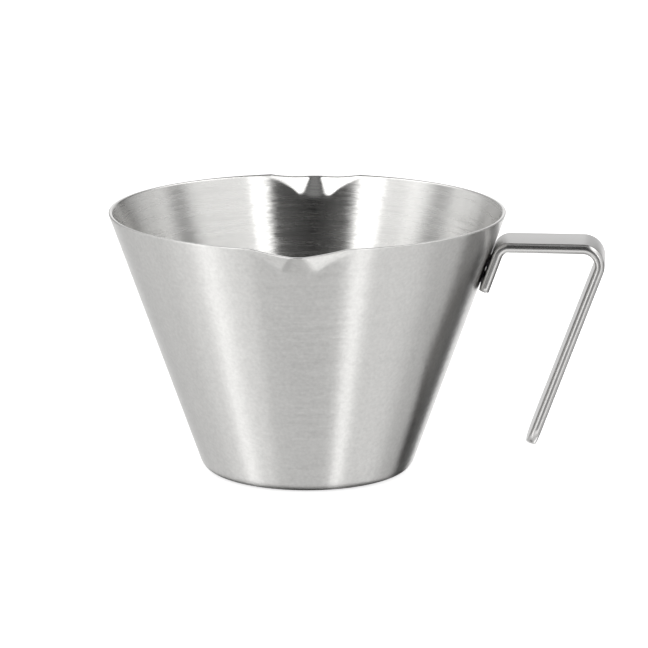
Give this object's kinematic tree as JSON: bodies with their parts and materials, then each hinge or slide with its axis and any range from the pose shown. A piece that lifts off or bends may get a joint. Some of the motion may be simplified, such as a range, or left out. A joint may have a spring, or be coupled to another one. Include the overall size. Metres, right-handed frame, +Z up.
{
  "type": "candle melting pot",
  "caption": "Small conical steel pouring pot with rounded base edge, opposed pouring spouts and an open flat-bar handle spot welded below the rim.",
  "frame": {"origin": "middle of the flat underside of the base, on the table", "axes": "+Z up, +X from the cup's axis towards the handle, spouts near +Y and -Y"},
  "size_m": [0.0949, 0.0816, 0.0505],
  "materials": {
    "cup_steel": "brushed around the cup, inside and out, with a polished rim",
    "handle_steel": "satin, polished along the round edges",
    "weld_metal": "as welded, dull"
  },
  "bodies": {
    "root": {"cup_body": "cup_steel", "handle": "handle_steel", "lower_spot_weld": "weld_metal", "upper_spot_weld": "weld_metal"}
  },
  "joints": []
}
